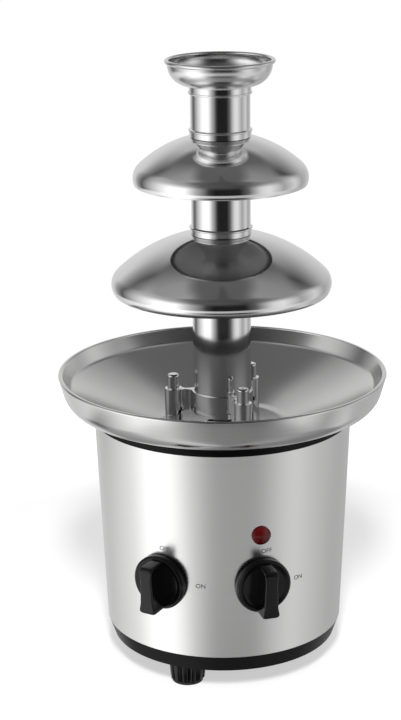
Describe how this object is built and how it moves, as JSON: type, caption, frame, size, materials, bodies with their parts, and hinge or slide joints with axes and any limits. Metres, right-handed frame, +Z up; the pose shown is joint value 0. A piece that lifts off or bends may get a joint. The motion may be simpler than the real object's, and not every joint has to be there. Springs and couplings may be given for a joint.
{
  "type": "chocolate fountain",
  "caption": "Tabletop chocolate fountain: heated steel basin on a conical motor base with levelling feet and rotary controls, an auger in a slip-jointed tube tower with domes and a crown bowl.",
  "frame": {"origin": "on the table, under the tower's axis, at the height of the foot pads' undersides", "axes": "+Z up along the tower's axis, -Y towards the front with the two knobs, +X to the right as seen from the front"},
  "size_m": [0.215, 0.215, 0.4],
  "materials": {
    "black_plastic": "satin moulded black",
    "satin_steel": "fine circumferential brush",
    "polished_steel": "mirror polished stainless steel",
    "steel": "plain bright steel",
    "brass": "turned",
    "aluminium": "cast and pressed",
    "gloss_black": "glossy moulded black",
    "rubber": "matt",
    "white_plastic": "moulded white",
    "lamp_red": "translucent dark red"
  },
  "bodies": {
    "base": {"base_tray": "black_plastic", "foot_inserts": "brass", "tie_rods": "steel", "housing_shell": "satin_steel", "top_ring": "black_plastic", "basin_skirt": "satin_steel", "basin_pan": "satin_steel", "tower_pins": "polished_steel", "pin_nuts": "steel", "heater_plate": "aluminium", "heating_element": "steel", "thermostat": "gloss_black", "thermal_fuse": "steel", "shaft_seal": "rubber", "motor_bracket": "aluminium", "bracket_screws": "steel", "gearbox_case": "black_plastic", "gearbox_cover": "black_plastic", "gearbox_screws": "steel", "idler_axle": "steel", "output_bush": "brass", "motor_can": "aluminium", "motor_end_cap": "black_plastic", "motor_switch": "black_plastic", "heat_switch": "black_plastic", "switch_nuts": "steel", "lamp_lens": "lamp_red", "lamp_body": "black_plastic", "lamp_clip": "steel", "cord_gland": "black_plastic", "gland_nut": "black_plastic", "terminal_block": "white_plastic"},
    "motor_knob": {"motor_knob": "gloss_black", "motor_switch_shaft": "steel"},
    "heat_knob": {"heat_knob": "gloss_black", "heat_switch_shaft": "steel"},
    "foot_1": {"foot_1": "gloss_black", "foot_stud_1": "steel"},
    "foot_2": {"foot_2": "gloss_black", "foot_stud_2": "steel"},
    "foot_3": {"foot_3": "gloss_black", "foot_stud_3": "steel"},
    "pad_1": {"foot_pad_1": "rubber"},
    "pad_2": {"foot_pad_2": "rubber"},
    "pad_3": {"foot_pad_3": "rubber"},
    "drive": {"output_shaft": "steel", "output_gear": "white_plastic", "drive_hex": "brass"},
    "idler": {"idler_gear": "white_plastic"},
    "rotor": {"rotor_pinion": "brass"},
    "auger": {"auger_core": "white_plastic", "auger_flight": "white_plastic"},
    "tower": {"lower_tube": "polished_steel", "tower_foot": "polished_steel", "large_dome": "polished_steel"},
    "middle": {"middle_tube": "polished_steel", "small_dome": "polished_steel"},
    "crown": {"top_tube": "polished_steel", "crown_bowl": "polished_steel"}
  },
  "joints": [
    {"name": "motor_knob_turn", "type": "hinge", "parent": "base", "child": "motor_knob", "pos_m": [-0.03203, -0.07402, 0.0773], "axis": [0.3968, 0.9169, 0.0424], "range_deg": [0, 90]},
    {"name": "heat_knob_turn", "type": "hinge", "parent": "base", "child": "heat_knob", "pos_m": [0.03203, -0.07402, 0.0773], "axis": [-0.3968, 0.9169, 0.0424], "range_deg": [0, 90]},
    {"name": "pad_1_travel", "type": "slide", "parent": "base", "child": "pad_1", "axis": [0, 0, -1], "range_m": [0, 0.005]},
    {"name": "foot_1_turn", "type": "hinge", "parent": "pad_1", "child": "foot_1", "pos_m": [-0.01839, -0.05659, 0], "axis": [0, 0, -1], "range_deg": [0, 1800]},
    {"name": "pad_2_travel", "type": "slide", "parent": "base", "child": "pad_2", "axis": [0, 0, -1], "range_m": [0, 0.005]},
    {"name": "foot_2_turn", "type": "hinge", "parent": "pad_2", "child": "foot_2", "pos_m": [0.0582, 0.01237, 0], "axis": [0, 0, -1], "range_deg": [0, 1800]},
    {"name": "pad_3_travel", "type": "slide", "parent": "base", "child": "pad_3", "axis": [0, 0, -1], "range_m": [0, 0.005]},
    {"name": "foot_3_turn", "type": "hinge", "parent": "pad_3", "child": "foot_3", "pos_m": [-0.03981, 0.04422, 0], "axis": [0, 0, -1], "range_deg": [0, 1800]},
    {"name": "drive_spin", "type": "hinge", "parent": "base", "child": "drive", "pos_m": [0, 0, 0.12], "axis": [0, 0, 1], "continuous": true},
    {"name": "idler_spin", "type": "hinge", "parent": "base", "child": "idler", "pos_m": [0, 0.03125, 0.12], "axis": [0, 0, 1], "continuous": true},
    {"name": "rotor_spin", "type": "hinge", "parent": "base", "child": "rotor", "pos_m": [-0.01562, 0.00419, 0.11], "axis": [0, 0, 1], "continuous": true},
    {"name": "auger_lift", "type": "slide", "parent": "drive", "child": "auger", "axis": [0, 0, 1], "range_m": [0, 0.25]},
    {"name": "tower_lift", "type": "slide", "parent": "base", "child": "tower", "axis": [0, 0, 1], "range_m": [0, 0.25]},
    {"name": "middle_lift", "type": "slide", "parent": "tower", "child": "middle", "axis": [0, 0, 1], "range_m": [0, 0.12]},
    {"name": "crown_lift", "type": "slide", "parent": "middle", "child": "crown", "axis": [0, 0, 1], "range_m": [0, 0.06]}
  ],
  "couplings": [
    {"joint": "foot_1_turn", "follows": "pad_1_travel", "rad_per_m": 6283.2},
    {"joint": "foot_2_turn", "follows": "pad_2_travel", "rad_per_m": 6283.2},
    {"joint": "foot_3_turn", "follows": "pad_3_travel", "rad_per_m": 6283.2},
    {"joint": "idler_spin", "follows": "drive_spin", "ratio": -4},
    {"joint": "rotor_spin", "follows": "drive_spin", "ratio": 16}
  ]
}
